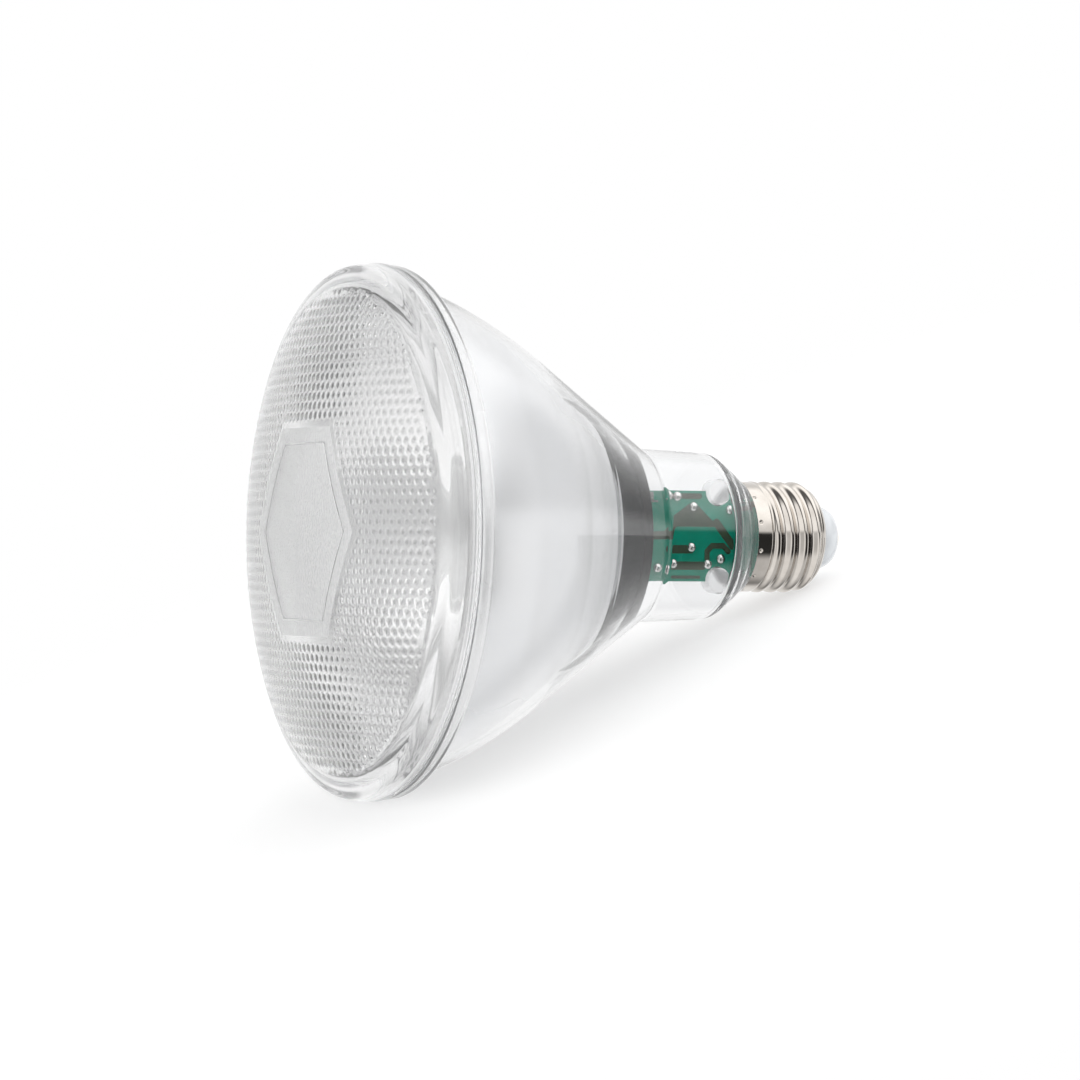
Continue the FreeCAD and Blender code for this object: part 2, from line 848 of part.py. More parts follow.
def make_disc_capacitor():
    """Coated disc capacitor standing on its edge."""
    z = component_centre("disc_capacitor")[1]
    start = Vector(disc_x - disc_thickness / 2, board_back_y + disc_radius, z)
    disc = cylinder(disc_radius, disc_thickness, start, X_AXIS)
    disc = disc.makeFillet(0.9, [edge for edge in disc.Edges if isinstance(edge.Curve, Part.Circle)])
    return joined([disc] + leads_of("disc_capacitor", board_back_y + disc_radius / 2))


def make_fuse_resistor():
    """Fusible resistor along the edge of the board with bent leads."""
    (top_x, top_z), (low_x, low_z) = lead_holes()["fuse_resistor"]
    body_x = low_x + fuse_offset
    body_y = board_back_y + fuse_lift
    body = cylinder(fuse_radius, fuse_length, Vector(body_x, body_y, fuse_foot_z))
    front = -board_front - lead_stub
    upper = bent_wire([
        Vector(top_x, front, top_z),
        Vector(top_x, body_y, top_z),
        Vector(body_x, body_y, top_z),
        Vector(body_x, body_y, fuse_foot_z + fuse_length / 2),
    ], lead_radius)
    lower = bent_wire([
        Vector(low_x, front, low_z),
        Vector(low_x, body_y, low_z),
        Vector(low_x, body_y, fuse_foot_z + fuse_length / 2),
    ], lead_radius)
    return joined([body, upper, lower])


def package(width, depth, height, x):
    """Moulded package that stands just clear of the back of the board."""
    return box(width, depth, height, x, board_back_y + package_lift, packages_z)


def make_bridge_rectifier():
    """Flat rectifier package with four side terminals."""
    solids = [package(rectifier_width, rectifier_depth, rectifier_height, rectifier_x)]
    span = rectifier_width + 2 * rectifier_reach
    low_z = packages_z + (rectifier_height - rectifier_pitch - terminal_thickness) / 2
    for index in range(2):
        z = low_z + rectifier_pitch * index
        solids.append(box(span, terminal_thickness, terminal_thickness, rectifier_x, board_back_y, z))
    return joined(solids)


def make_driver_chip():
    """Eight-lead driver circuit package."""
    solids = [package(chip_width, chip_depth, chip_height, chip_x)]
    span = chip_width + 2 * chip_reach
    low_z = packages_z + (chip_height - 3 * chip_pitch - terminal_thickness) / 2
    for index in range(4):
        z = low_z + chip_pitch * index
        solids.append(box(span, terminal_thickness, terminal_thickness, chip_x, board_back_y, z))
    return joined(solids)


def cap_outer_edges():
    """Outer side of the cap shell from the lip up to the skirt edge."""
    return [
        (cap_lip_radius, cap_lip_z),
        (root_radius, thread_foot_z),
        (root_radius, cap_skirt_foot_z - (cap_skirt_radius - root_radius)),
        (cap_skirt_radius, cap_skirt_foot_z),
        (cap_skirt_radius, shoulder_foot_z - slip),
    ]


def thread_ridge(top_radius):
    """Rounded helical ridge of the Edison thread up to this crest radius."""
    base_radius = top_radius - (crest_radius - root_radius)
    height = thread_pitch * thread_turns
    path = Part.makeHelix(thread_pitch, height, base_radius)
    half = ridge_width / 2
    low = Vector(base_radius - ridge_overlap, 0, -half)
    high = Vector(base_radius - ridge_overlap, 0, half)
    crest = Vector(top_radius, 0, 0)
    section = Part.Wire([
        Part.Arc(low, crest, high).toShape(),
        Part.makeLine(high, low),
    ])
    ridge = Part.Wire(path).makePipeShell([section], True, True)
    turn = -360 * (thread_turns % 1)
    ridge.rotate(ORIGIN, Z_AXIS, turn)
    ridge.translate(Vector(0, 0, first_crest_z))
    return ridge


def make_screw_shell():
    """Rolled metal shell: lip, helical thread, plain skirt and punch marks."""
    outer_points = cap_outer_edges()
    outer = turned_ring([(0, cap_lip_z)] + outer_points + [(0, outer_points[-1][1])])
    inner_points = [(radius - cap_wall, z + 0.4 * cap_wall) for radius, z in outer_points[:-1]]
    top = shoulder_foot_z - slip
    inner = turned_ring(
        [(0, cap_lip_z - 1), (inner_points[0][0], cap_lip_z - 1)]
        + inner_points
        + [(cap_skirt_radius - cap_wall, top + 1), (0, top + 1)]
    )
    outer = outer.fuse(thread_ridge(crest_radius))
    shell = outer.cut(inner)
    for index in range(punch_count):
        angle = math.radians((index + 0.5) * 360 / punch_count)
        direction = Vector(math.cos(angle), math.sin(angle), 0)
        start = direction * (cap_skirt_radius - punch_depth)
        start = start.add(Vector(0, 0, top - punch_drop))
        shell = shell.cut(cylinder(punch_radius, 2, start, direction))
    return shell


def make_insulator(screw_shell):
    """White insulating button seated in the mouth of the screw shell."""
    top_z = contact_height + insulator_height
    tip = (insulator_tip_radius, contact_height)
    lip = (insulator_side_radius, cap_lip_z)
    bulge = (
        insulator_tip_radius + 0.7 * (insulator_side_radius - insulator_tip_radius),
        contact_height + 0.4 * (cap_lip_z - contact_height),
    )
    edges = [arc(tip, bulge, lip)]
    edges += chain([
        lip,
        (insulator_side_radius, cap_lip_z + loose),
        (root_radius, thread_foot_z + 2 * loose),
        (root_radius - insulator_bevel, top_z),
        (insulator_bore_radius, top_z),
        (insulator_bore_radius, rivet_top_z),
        (rivet_radius, rivet_top_z),
        (rivet_radius, contact_height),
        tip,
    ])
    body = turned(edges).cut(screw_shell)
    return max(body.Solids, key=lambda solid: solid.Volume)


def make_end_contact():
    """Riveted end contact with a flat underside."""
    flat = (contact_flat_radius, 0)
    brim = (contact_radius, contact_height)
    bulge = (
        contact_flat_radius + 0.75 * (contact_radius - contact_flat_radius),
        0.33 * contact_height,
    )
    edges = [arc(flat, bulge, brim)]
    edges += chain([
        brim,
        (rivet_radius, contact_height),
        (rivet_radius, rivet_top_z),
        (rivet_head_radius, rivet_top_z),
        (0.75 * rivet_head_radius, rivet_top_z + rivet_head_height),
        (0, rivet_top_z + rivet_head_height),
        (0, 0),
        flat,
    ])
    return turned(edges)


def make_live_wire():
    """Lead from the tail of the board to the rivet of the end contact."""
    y = board_back_y + wire_radius
    return bent_wire([
        Vector(live_wire_x, y, live_wire_top_z),
        Vector(live_wire_x, y, live_wire_bend_z),
        Vector(0, 0, live_wire_foot_z),
        Vector(0, 0, rivet_top_z + rivet_head_height),
    ], wire_radius)


def make_neutral_wire():
    """Lead from the board to the skirt, through the notch of the spigot."""
    y = board_back_y + wire_radius
    inner_radius = cap_skirt_radius - cap_wall
    wire = bent_wire([
        Vector(neutral_wire_x, y, neutral_wire_top_z),
        Vector(neutral_wire_x, y, neutral_wire_z),
        Vector(neutral_wire_x, cap_skirt_radius, neutral_wire_z),
    ], wire_radius)
    foot = Vector(0, 0, neutral_wire_z - cut_reach / 2)
    outside = cylinder(2 * cap_skirt_radius, cut_reach, foot)
    outside = outside.cut(cylinder(inner_radius, cut_reach, foot))
    return wire.cut(outside)


def cut_spigot_notch(housing):
    """Open the spigot where the neutral wire passes to the skirt."""
    half = spigot_notch / 2
    height = neutral_wire_z + half - spigot_foot_z
    notch = box(spigot_notch, cap_skirt_radius, height, neutral_wire_x, 0, spigot_foot_z)
    return housing.cut(notch)


screw_shell = make_screw_shell()

parts = {
    "front_lens": make_front_lens(),
    "lens_seal": make_lens_seal(),
    "housing": cut_spigot_notch(make_housing()),
    "reflector": make_reflector(),
    "heat_spreader": make_heat_spreader(),
    "led_board": make_led_board(),
    "led_chips": make_led_chips(),
    "board_screws": make_board_screws(),
    "led_leads": make_led_leads(),
    "driver_board": make_driver_board(),
    "copper_traces": make_copper_traces(),
    "solder_joints": make_solder_joints(),
    "lead_tab": make_lead_tab(),
    "choke_core": make_choke_core(),
    "choke_winding": make_choke_winding(),
    "electrolytic_capacitor": make_electrolytic_capacitor(),
    "film_capacitor": make_film_capacitor(),
    "disc_capacitor": make_disc_capacitor(),
    "fuse_resistor": make_fuse_resistor(),
    "bridge_rectifier": make_bridge_rectifier(),
    "driver_chip": make_driver_chip(),
    "live_wire": make_live_wire(),
    "neutral_wire": make_neutral_wire(),
    "screw_shell": screw_shell,
    "insulator": make_insulator(screw_shell),
    "end_contact": make_end_contact(),
}

for name, shape in parts.items():
    shape.exportStep(os.path.join("parts", name + ".step"))
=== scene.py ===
import bpy
import math
from mathutils import Matrix, Vector, geometry


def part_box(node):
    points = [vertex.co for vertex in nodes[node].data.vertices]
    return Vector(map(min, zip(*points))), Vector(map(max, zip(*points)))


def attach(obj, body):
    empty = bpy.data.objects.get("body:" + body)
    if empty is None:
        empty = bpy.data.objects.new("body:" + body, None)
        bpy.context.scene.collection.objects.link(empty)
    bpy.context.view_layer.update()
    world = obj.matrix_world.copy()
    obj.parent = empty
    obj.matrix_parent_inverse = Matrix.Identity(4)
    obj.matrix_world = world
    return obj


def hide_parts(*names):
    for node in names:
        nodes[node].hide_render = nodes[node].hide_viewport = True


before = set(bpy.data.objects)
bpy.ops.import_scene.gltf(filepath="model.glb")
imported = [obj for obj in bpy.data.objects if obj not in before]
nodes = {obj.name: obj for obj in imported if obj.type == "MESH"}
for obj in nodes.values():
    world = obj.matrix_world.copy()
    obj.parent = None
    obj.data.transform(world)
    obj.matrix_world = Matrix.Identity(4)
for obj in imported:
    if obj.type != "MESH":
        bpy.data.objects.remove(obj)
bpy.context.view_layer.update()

MM = 0.001

# Sizes in millimetres, read from the frame where it holds them
lens_low, lens_high = (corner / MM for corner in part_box("front_lens"))
housing_low, housing_high = (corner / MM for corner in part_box("housing"))
shell_low, shell_high = (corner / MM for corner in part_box("screw_shell"))
board_low, _ = (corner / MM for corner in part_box("driver_board"))
spreader_low, spreader_high = (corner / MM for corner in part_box("heat_spreader"))

field_step = 0.25
dome_radius = 160.0
dome_top = lens_high.z + field_step
lens_wall = 2.6
field_radius = 54.6
lens_top_radius = 60.2
lens_corner_radius = 2.8
lens_foot_radius = 60.7
skirt_inner_radius = 57.8
hexagon_flats = 39.9
plain_hexagon_flats = 46.7
border_width = 0.45
border_height = 0.1
lenslet_row_pitch = 2.165
lenslet_pitch = 2.5
lenslet_radius = 1.02
lenslet_height = 0.21
fade_start = 18
fade_span = 32
fade_depth = 0.5
cells_per_pitch = 6

flange_top = housing_high.z
flange_bottom = flange_top - 3.2
flange_radius = housing_high.x
bowl_top = (57.3, flange_bottom)
bowl_mid = (51.55, 101.15)
cone_top = (43.3, 86.5)
neck_top = (20.3, 53.1)
neck_foot = (19.5, 34.5)
shoulder_foot = (13.6, 26.5)
spigot_radius = 12.55
housing_wall = 1.4
post_radius = 3.0
post_x = 10.3
post_z = 32.8
post_reach = 1.0
post_length = 4.0

vertex_z = 60.0
focal_length = 14.952
reflector_wall = 1.2
bend = (49.61, 101.15)
bowl_bulge = (53.06, 109.08)
mirror_top = (55.5, 117.0)
mirror_foot = (19.3, 66.228)
seat = (17.9, 62.4)
lip = (27.9, 70.0)
waist = (31.9, 75.6)
bowl_joint = 35.6
spreader_wall = 1.8
spreader_disc = 23.0
slip = 0.1
seal_inner_radius = 58.1
seal_outer_radius = 60.0
seal_bottom = 119.0
seal_top = 119.5

crest_radius = 13.12
root_radius = 12.1
thread_pitch = 3.629
thread_foot_z = 9.0
first_crest_z = 9.9
last_crest_z = 21.7
lip_radius = 8.0
skirt_radius = 13.0
shell_wall = 0.35
punch_count = 12
punch_radius = 0.45
punch_depth = 0.33
punch_below_edge = 0.95

rivet_bore = 1.3
button_face_radius = 5.6
button_face_z = 0.9
button_radius = 7.65
insulator_radius = 10.6
insulator_top_z = 11.0
hollow_radius = 3.6
hollow_floor_z = 6.5


def arc(start, middle, end, steps):
    """Points of the circle through three (radius, z) points, both ends included."""
    (ax, ay), (bx, by), (cx, cy) = start, middle, end
    d = 2 * (ax * (by - cy) + bx * (cy - ay) + cx * (ay - by))
    a2, b2, c2 = ax * ax + ay * ay, bx * bx + by * by, cx * cx + cy * cy
    ux = (a2 * (by - cy) + b2 * (cy - ay) + c2 * (ay - by)) / d
    uy = (a2 * (cx - bx) + b2 * (ax - cx) + c2 * (bx - ax)) / d
    radius = math.hypot(ax - ux, ay - uy)
    first = math.atan2(ay - uy, ax - ux)
    turn = math.atan2(cy - uy, cx - ux) - first
    turn = (turn + math.pi) % (2 * math.pi) - math.pi
    return [
        (ux + radius * math.cos(first + turn * i / steps), uy + radius * math.sin(first + turn * i / steps))
        for i in range(steps + 1)
    ]


def soften(outline, radius, steps=4):
    """Closed outline with each corner sharper than 12 degrees rounded off."""
    out = []
    count = len(outline)
    for i, point in enumerate(outline):
        p = Vector(point)
        before = Vector(outline[i - 1]) - p
        after = Vector(outline[(i + 1) % count]) - p
        corner_turn = math.pi - before.angle(after, math.pi)
        if corner_turn < math.radians(12) or p.x < 1e-6:
            out.append(tuple(p))
            continue
        reach = min(radius, 0.45 * before.length, 0.45 * after.length)
        a = p + before.normalized() * reach
        b = p + after.normalized() * reach
        for k in range(steps + 1):
            t = k / steps
            out.append(tuple(a * (1 - t) ** 2 + p * (2 * t * (1 - t)) + b * t ** 2))
    return out


def new_object(name, verts, faces, sharp=40):
    mesh = bpy.data.meshes.new(name)
    mesh.from_pydata(verts, [], faces)
    mesh.validate()
    mesh.shade_smooth()
    mesh.set_sharp_from_angle(angle=math.radians(sharp))
    obj = bpy.data.objects.new(name, mesh)
    bpy.context.scene.collection.objects.link(obj)
    return obj


def lathe(name, outline, turns=192, sharp=40):
    """Closed mesh of revolution from a closed (radius, z) outline in millimetres."""
    verts = []
    rings = []
    for radius, z in outline:
        if radius < 1e-6:
            rings.append([len(verts)] * turns)
            verts.append(Vector((0, 0, z)) * MM)
            continue
        rings.append(range(len(verts), len(verts) + turns))
        for k in range(turns):
            angle = 2 * math.pi * k / turns
            verts.append(Vector((radius * math.cos(angle), radius * math.sin(angle), z)) * MM)
    faces = []
    for i in range(len(rings)):
        a, b = rings[i], rings[(i + 1) % len(rings)]
        for k in range(turns):
            corners = [a[k], a[(k + 1) % turns], b[(k + 1) % turns], b[k]]
            corners = list(dict.fromkeys(corners))
            if len(corners) > 2:
                faces.append(corners)
    return new_object(name, verts, faces, sharp)


def install(obj, mat, slot, *replaced):
    """Gives a piece its material and body, and hides the parts it replaces; its slot is not used."""
    if mat is not None:
        obj.data.materials.append(mat)
    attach(obj, "root")
    if replaced:
        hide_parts(*replaced)
    return obj


# Materials


def material(name):
    """New node material: (material, nodes, links, principled shader)."""
    mat = bpy.data.materials.new(name)
    mat.use_nodes = True
    tree = mat.node_tree
    return mat, tree.nodes, tree.links, tree.nodes["Principled BSDF"]


def noise(tree_nodes, links, scale, detail=3.0):
    coordinates = tree_nodes.new("ShaderNodeTexCoord")
    texture = tree_nodes.new("ShaderNodeTexNoise")
    texture.inputs["Scale"].default_value = scale
    texture.inputs["Detail"].default_value = detail
    links.new(coordinates.outputs["Object"], texture.inputs["Vector"])
    return texture


def ramp(tree_nodes, links, source, low, high, start=0.3, end=0.7):
    """Color ramp between two colours driven by a value."""
    node = tree_nodes.new("ShaderNodeValToRGB")
    node.color_ramp.elements[0].color = (*low, 1)
    node.color_ramp.elements[1].color = (*high, 1)
    node.color_ramp.elements[0].position = start
    node.color_ramp.elements[1].position = end
    links.new(source, node.inputs["Fac"])
    return node


def spread(tree_nodes, links, source, low, high):
    """Value mapped from 0..1 to low..high."""
    node = tree_nodes.new("ShaderNodeMapRange")
    node.inputs["To Min"].default_value = low
    node.inputs["To Max"].default_value = high
    links.new(source, node.inputs["Value"])
    return node.outputs["Result"]


def smooth(tree_nodes, links, source, low, high):
    """Smooth step of a value from 0 at low to 1 at high."""
    node = tree_nodes.new("ShaderNodeMapRange")
    node.interpolation_type = "SMOOTHSTEP"
    node.inputs["From Min"].default_value = low
    node.inputs["From Max"].default_value = high
    links.new(source, node.inputs["Value"])
    return node.outputs["Result"]


def bump(tree_nodes, links, source, strength, distance):
    node = tree_nodes.new("ShaderNodeBump")
    node.inputs["Strength"].default_value = strength
    node.inputs["Distance"].default_value = distance
    links.new(source, node.inputs["Height"])
    return node.outputs["Normal"]


def wear(tree_nodes, links, shader, texture, roughness, relief, depth):
    """Roughness and a fine relief that both follow a texture."""
    value = texture.outputs["Fac"]
    links.new(spread(tree_nodes, links, value, *roughness), shader.inputs["Roughness"])
    links.new(bump(tree_nodes, links, value, relief, depth), shader.inputs["Normal"])


def opaque(
    name, low, high, rough_low, rough_high, scale,
    metallic=0.0, relief=0.1, depth=0.00005, coat=0.0, specular=0.5,
):
    """Solid material with mottled colour, varied roughness and a fine relief."""
    mat, tree_nodes, links, shader = material(name)
    texture = noise(tree_nodes, links, scale)
    colour = ramp(tree_nodes, links, texture.outputs["Fac"], low, high)
    links.new(colour.outputs["Color"], shader.inputs["Base Color"])
    wear(tree_nodes, links, shader, texture, (rough_low, rough_high), relief, depth)
    shader.inputs["Metallic"].default_value = metallic
    shader.inputs["Coat Weight"].default_value = coat
    shader.inputs["Specular IOR Level"].default_value = specular
    return mat


def clear(
    name, tint, rough_low, rough_high, scale, relief, depth,
    ior=1.49, specular=0.5, transmission=1.0,
):
    """Clear plastic that lets most of the light through to what is behind it."""
    mat, tree_nodes, links, shader = material(name)
    texture = noise(tree_nodes, links, scale)
    colour = ramp(tree_nodes, links, texture.outputs["Fac"], tint, (1, 1, 1), 0.2, 0.8)
    links.new(colour.outputs["Color"], shader.inputs["Base Color"])
    wear(tree_nodes, links, shader, texture, (rough_low, rough_high), relief, depth)
    shader.inputs["Transmission Weight"].default_value = transmission
    shader.inputs["IOR"].default_value = ior
    shader.inputs["Specular IOR Level"].default_value = specular
    path = tree_nodes.new("ShaderNodeLightPath")
    through = tree_nodes.new("ShaderNodeBsdfTransparent")
    through.inputs["Color"].default_value = (0.93, 0.94, 0.95, 1)
    mix = tree_nodes.new("ShaderNodeMixShader")
    links.new(path.outputs["Is Shadow Ray"], mix.inputs["Fac"])
    links.new(shader.outputs["BSDF"], mix.inputs[1])
    links.new(through.outputs["BSDF"], mix.inputs[2])
    links.new(mix.outputs["Shader"], tree_nodes["Material Output"].inputs["Surface"])
    return mat


def paint_shade_on_lenslet_caps(mat):
    """Painted shade: greyer base colour on the caps of the lenslets, in place of the even tint."""
    tree_nodes, links = mat.node_tree.nodes, mat.node_tree.links
    cap = tree_nodes.new("ShaderNodeAttribute")
    cap.attribute_name = "lenslet"
    # Painted shade: base colour falls from 0.97 on the flats to 0.6 at the lenslet tops, giving dark dots.
    colour = ramp(tree_nodes, links, cap.outputs["Fac"], (0.97,) * 3, (0.6,) * 3, 0.45, 0.92)
    links.new(colour.outputs["Color"], tree_nodes["Principled BSDF"].inputs["Base Color"])


def haze_far_side(mat):
    """Rougher surface towards the +Y side, in place of the even roughness."""
    tree_nodes, links = mat.node_tree.nodes, mat.node_tree.links
    axes = tree_nodes.new("ShaderNodeSeparateXYZ")
    links.new(tree_nodes["Texture Coordinate"].outputs["Object"], axes.inputs["Vector"])
    share = smooth(tree_nodes, links, axes.outputs["Y"], -0.01, 0.05)
    roughness = spread(tree_nodes, links, share, 0.03, 0.24)
    links.new(roughness, tree_nodes["Principled BSDF"].inputs["Roughness"])


lens_clear = clear("lens_clear", (0.965, 0.975, 0.98), 0.02, 0.06, 60, 0.05, 0.00004, transmission=0.94)
lens_frost = clear("lens_frost", (0.8, 0.81, 0.81), 0.1, 0.16, 1500, 1.0, 0.0004, transmission=0.6)
# The clear lens gets painted shade on its lenslet caps.
paint_shade_on_lenslet_caps(lens_clear)
haze_far_side(lens_clear)
shell_clear = clear("shell_clear", (0.965, 0.972, 0.98), 0.0, 0.03, 40, 0.05, 0.00004, 1.58, 0.9)
soft_clear = clear("soft_clear", (0.96, 0.96, 0.96), 0.08, 0.16, 300, 0.1, 0.00005, 1.03)
post_milk = clear("post_milk", (0.86, 0.84, 0.845), 0.1, 0.2, 300, 0.05, 0.00002, 1.03, transmission=0.72)
rim_soft = clear("rim_soft", (0.93, 0.93, 0.93), 0.08, 0.16, 300, 0.05, 0.00002, transmission=0.75)
shoulder_clear = clear(
    "shoulder_clear", (0.965, 0.972, 0.98), 0.0, 0.03, 40, 0.05, 0.00004, 1.25, 0.9, transmission=0.94)
seal_clear = clear("seal_clear", (0.93, 0.94, 0.95), 0.15, 0.3, 300, 0.2, 0.00005, 1.2)
mirror = opaque("mirror_coat", (0.92, 0.92, 0.925), (0.96, 0.96, 0.96), 0.05, 0.09, 50, 1.0, 0.04, 0.00003)
mirror_back = opaque(
    "mirror_back", (0.92, 0.92, 0.925), (0.94, 0.94, 0.945), 0.25, 0.3, 14, 0.85, 0.02, 0.00002)
spreader = opaque("spreader_metal", (0.1, 0.1, 0.108), (0.14, 0.14, 0.15), 0.2, 0.28, 120, 1.0, 0.1)
nickel = opaque("nickel", (0.57, 0.53, 0.485), (0.67, 0.63, 0.585), 0.06, 0.12, 260, 1.0, 0.06, 0.00003)
insulator_white = opaque(
    "white_insulator", (0.68, 0.71, 0.74), (0.74, 0.765, 0.79), 0.12, 0.22, 90, 0.0, 0.05, coat=0.4)
contact_brass = opaque("contact_metal", (0.68, 0.58, 0.36), (0.78, 0.68, 0.46), 0.2, 0.35, 300, 1.0, 0.2)
board_green = opaque(
    "green_board", (0.0, 0.25, 0.16), (0.0, 0.31, 0.205), 0.2, 0.32, 220, 0.0, 0.08, specular=0.25)
trace_dark = opaque("covered_copper", (0.03, 0.055, 0.03), (0.05, 0.08, 0.045), 0.25, 0.35, 260, 0.0, 0.08)
solder_metal = opaque("solder", (0.7, 0.69, 0.67), (0.83, 0.82, 0.8), 0.08, 0.16, 900, 1.0, 0.2)
tab_metal = opaque("tinned_tab", (0.7, 0.7, 0.68), (0.84, 0.84, 0.82), 0.15, 0.3, 500, 1.0, 0.2)
screw_steel = opaque("screw_steel", (0.5, 0.5, 0.5), (0.65, 0.65, 0.65), 0.2, 0.35, 500, 1.0, 0.2)
led_board_white = opaque("led_board", (0.78, 0.81, 0.82), (0.86, 0.88, 0.88), 0.3, 0.45, 150)
phosphor = opaque("phosphor", (0.85, 0.48, 0.06), (0.95, 0.6, 0.12), 0.35, 0.5, 1500, 0.0, 0.3)
ferrite = opaque("ferrite", (0.02, 0.02, 0.022), (0.04, 0.04, 0.042), 0.5, 0.7, 800, 0.0, 0.3)
copper_wire = opaque("copper_wire", (0.5, 0.18, 0.06), (0.66, 0.28, 0.1), 0.25, 0.4, 400, 1.0, 0.2)
sleeve = opaque(
    "capacitor_sleeve", (0.012, 0.02, 0.04), (0.02, 0.03, 0.055), 0.2, 0.35, 200, 0.0, 0.1, coat=0.3)
film_red = opaque("film_box", (0.42, 0.04, 0.02), (0.52, 0.07, 0.035), 0.25, 0.4, 300, coat=0.2)
disc_blue = opaque("disc_coating", (0.03, 0.12, 0.34), (0.05, 0.17, 0.42), 0.3, 0.45, 500, 0.0, 0.3)
resistor_grey = opaque("resistor_coating", (0.16, 0.27, 0.22), (0.22, 0.34, 0.28), 0.5, 0.65, 600, 0.0, 0.3)
package_black = opaque(
    "black_package", (0.012, 0.012, 0.013), (0.025, 0.025, 0.026), 0.5, 0.65, 900, 0.0, 0.3)
wire_white = opaque("wire_white", (0.78, 0.78, 0.75), (0.86, 0.86, 0.83), 0.35, 0.5, 500)
wire_red = opaque("wire_red", (0.5, 0.02, 0.015), (0.62, 0.04, 0.03), 0.35, 0.5, 500)


# Front lens


def dome_z(radius, sphere):
    return dome_top - dome_radius + math.sqrt(max(sphere * sphere - radius * radius, 0))


def hexagon_distance(x, y):
    """Distance from the axis across the flats; two flats face +X and -X."""
    best = 0
    for k in range(3):
        angle = math.radians(60 * k)
        best = max(best, abs(x * math.cos(angle) + y * math.sin(angle)))
    return best


def far_fade(y):
    """Share of the full lenslet height, lower towards the +Y side of the field."""
    share = min(max((y - fade_start) / fade_span, 0), 1)
    return 1 - fade_depth * share * share * (3 - 2 * share)


def lenslet_share(x, y):
    """Height of the nearest lenslet's cap at a point, as a share of its top."""
    best = 9.0
    base_row = round(x / lenslet_row_pitch)
    for row in (base_row - 1, base_row, base_row + 1):
        shift = 0.5 * lenslet_pitch * (row % 2)
        column = round((y - shift) / lenslet_pitch)
        cx, cy = row * lenslet_row_pitch, column * lenslet_pitch + shift
        if hexagon_distance(cx, cy) < plain_hexagon_flats / 2 + 0.6:
            continue
        if math.hypot(cx, cy) > field_radius - 0.4:
            continue
        best = min(best, math.hypot(x - cx, y - cy))
    if best >= lenslet_radius:
        return 0.0
    return 1 - (best / lenslet_radius) ** 2


margin_sphere = dome_radius - field_step
corner_start = (lens_top_radius - lens_corner_radius) / (1 - lens_corner_radius / margin_sphere)
corner_tilt = math.asin(corner_start / margin_sphere)
corner_end_z = dome_z(corner_start, margin_sphere) - lens_corner_radius * math.cos(corner_tilt)
lens_turns = 240


def lens_top_z(x, y):
    """Height of the lens front: field with lenslets, panel, border and margin."""
    radius = math.hypot(x, y)
    if radius > field_radius:
        return dome_z(radius, margin_sphere)
    across = hexagon_distance(x, y)
    if across < plain_hexagon_flats / 2:
        edge = abs(across - (hexagon_flats - border_width) / 2)
        lift = border_height if edge < border_width / 2 - 0.01 else 0.0
        share = (2 * across - hexagon_flats) / (plain_hexagon_flats - hexagon_flats)
        share = min(max(share, 0), 1) ** 2
        return dome_z(radius, margin_sphere + max(lift, field_step * share))
    return dome_z(radius, dome_radius) + lenslet_height * far_fade(y) * lenslet_share(x, y)


def lens_plan_points():
    """Plan points of the lens front: rings first, then the lattice and the panel's edges."""
    points = []
    for radius in (corner_start, (corner_start + field_radius) / 2, field_radius + 0.12, field_radius - 0.02):
        for k in range(lens_turns):
            angle = 2 * math.pi * k / lens_turns
            points.append(Vector((radius * math.cos(angle), radius * math.sin(angle))))
    border = hexagon_flats / 2
    flats = []
    for offset in (0.0, 0.12, border_width - 0.12, border_width):
        flats.append(border - offset)
    flats += [plain_hexagon_flats / 2 - 0.06, plain_hexagon_flats / 2 + 0.06]
    for apothem in flats:
        corner = apothem / math.cos(math.radians(30))
        for side in range(6):
            a0, a1 = math.radians(30 + 60 * side), math.radians(90 + 60 * side)
            start = Vector((corner * math.cos(a0), corner * math.sin(a0)))
            end = Vector((corner * math.cos(a1), corner * math.sin(a1)))
            steps = 44
            for k in range(steps):
                points.append(start.lerp(end, k / steps))
    cell = lenslet_pitch / cells_per_pitch
    cell_row = lenslet_row_pitch / cells_per_pitch
    rows = int(field_radius / cell_row) + 2
    columns = int(field_radius / cell) + 2
    for row in range(-rows, rows + 1):
        for column in range(-columns, columns + 1):
            x = row * cell_row
            y = (column + 0.5 * (row % 2)) * cell
            if math.hypot(x, y) > field_radius - 0.2:
                continue
            across = hexagon_distance(x, y)
            if across < plain_hexagon_flats / 2 + 0.2:
                if row % 4 or (column + row // 4 * 2) % 4:
                    continue
                if min(abs(across - flat) for flat in flats) < 0.35:
                    continue
            points.append(Vector((x, y)))
    return points


